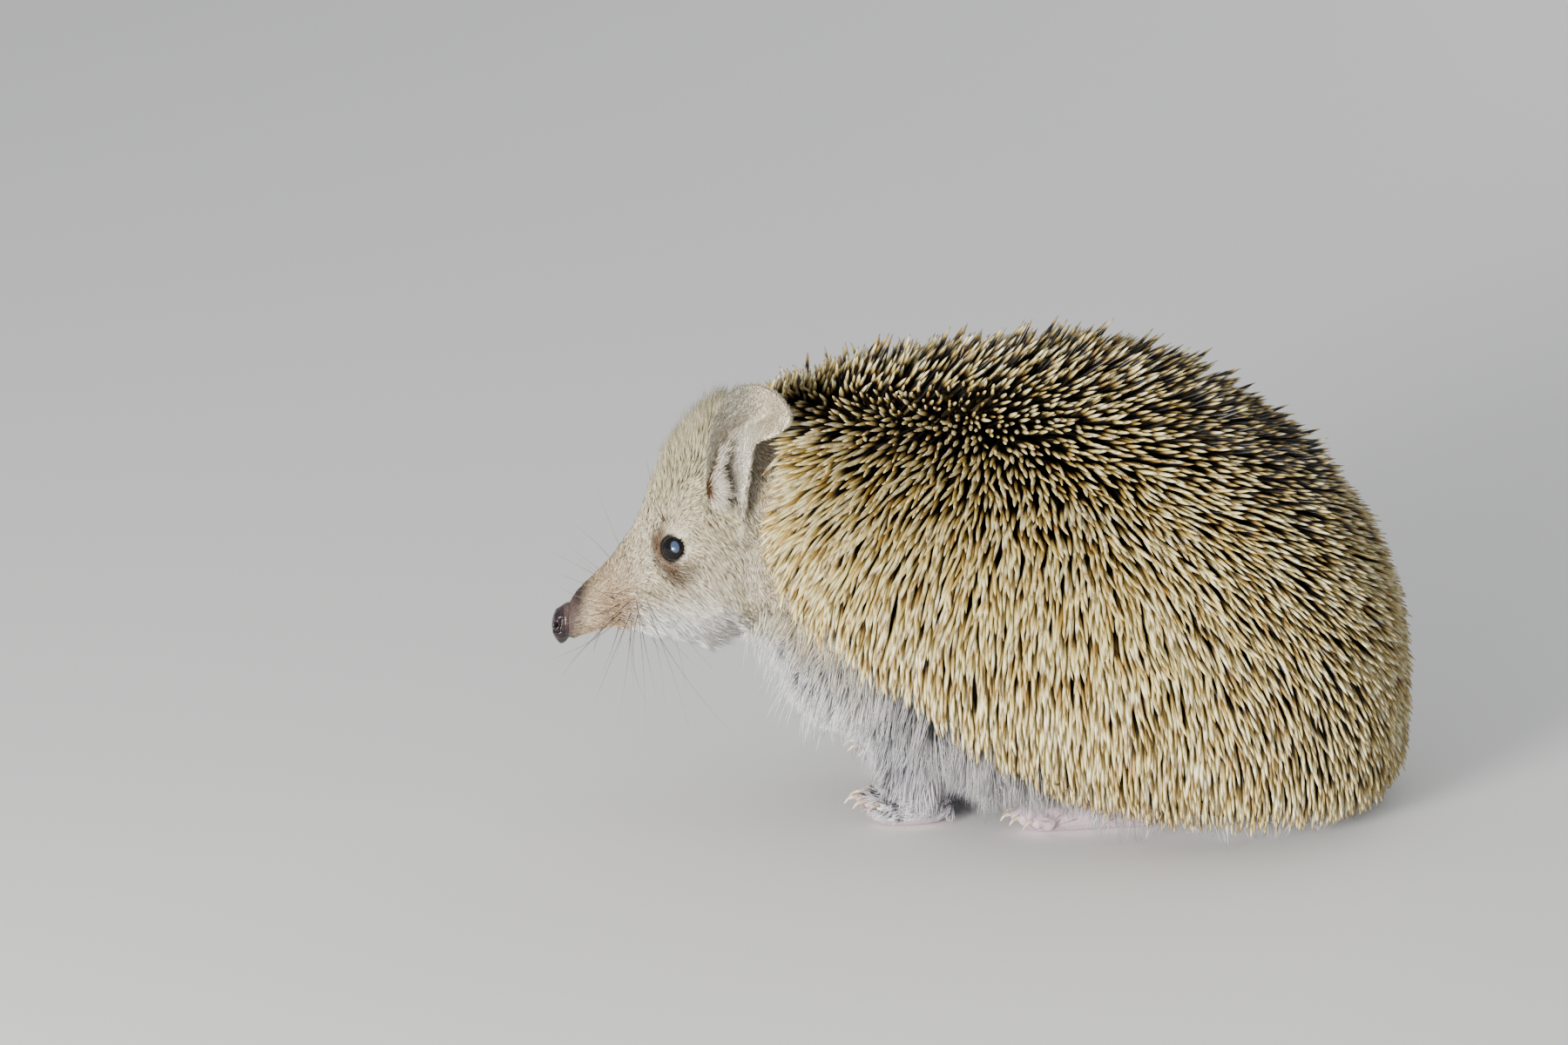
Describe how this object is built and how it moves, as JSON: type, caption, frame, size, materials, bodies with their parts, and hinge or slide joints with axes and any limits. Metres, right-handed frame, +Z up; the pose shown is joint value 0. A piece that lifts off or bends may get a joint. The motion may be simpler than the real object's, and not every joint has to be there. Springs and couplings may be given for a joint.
{
  "type": "hedgehog",
  "caption": "Life-size still long-eared hedgehog, standing hunched: long pointed muzzle, tall ears, domed coat of banded spines and a furry skirt.",
  "frame": {"origin": "on the floor, under the middle of the body's bounding box", "axes": "the animal faces -Y, its left side is +X and +Z is up; +Y runs along its length toward the rump"},
  "size_m": [0.108, 0.185, 0.1038],
  "materials": {
    "spiny_coat": "smooth hard keratin spines, straw with a dark brown band below pale tips",
    "face_fur": "short dense sandy fur, browner round the eyes and white on the chin",
    "belly_fur": "long soft whitish-grey hair",
    "bare_skin": "thin wrinkled pinkish-grey skin with pale claws",
    "nose_leather": "wet dark purplish-brown pebbled skin",
    "eye_gloss": "wet glossy brown-black with a bluish-grey pupil"
  },
  "bodies": {
    "root": {"head": "face_fur", "lower_jaw": "face_fur", "neck": "face_fur", "ear_left": "face_fur", "ear_right": "face_fur", "nose_pad": "nose_leather", "eye_left": "eye_gloss", "eye_right": "eye_gloss", "trunk": "spiny_coat", "foreleg_left": "belly_fur", "foreleg_right": "belly_fur", "hindleg_left": "belly_fur", "hindleg_right": "belly_fur", "forefoot_left": "bare_skin", "forefoot_right": "bare_skin", "hindfoot_left": "bare_skin", "hindfoot_right": "bare_skin", "tail": "bare_skin"}
  },
  "joints": []
}
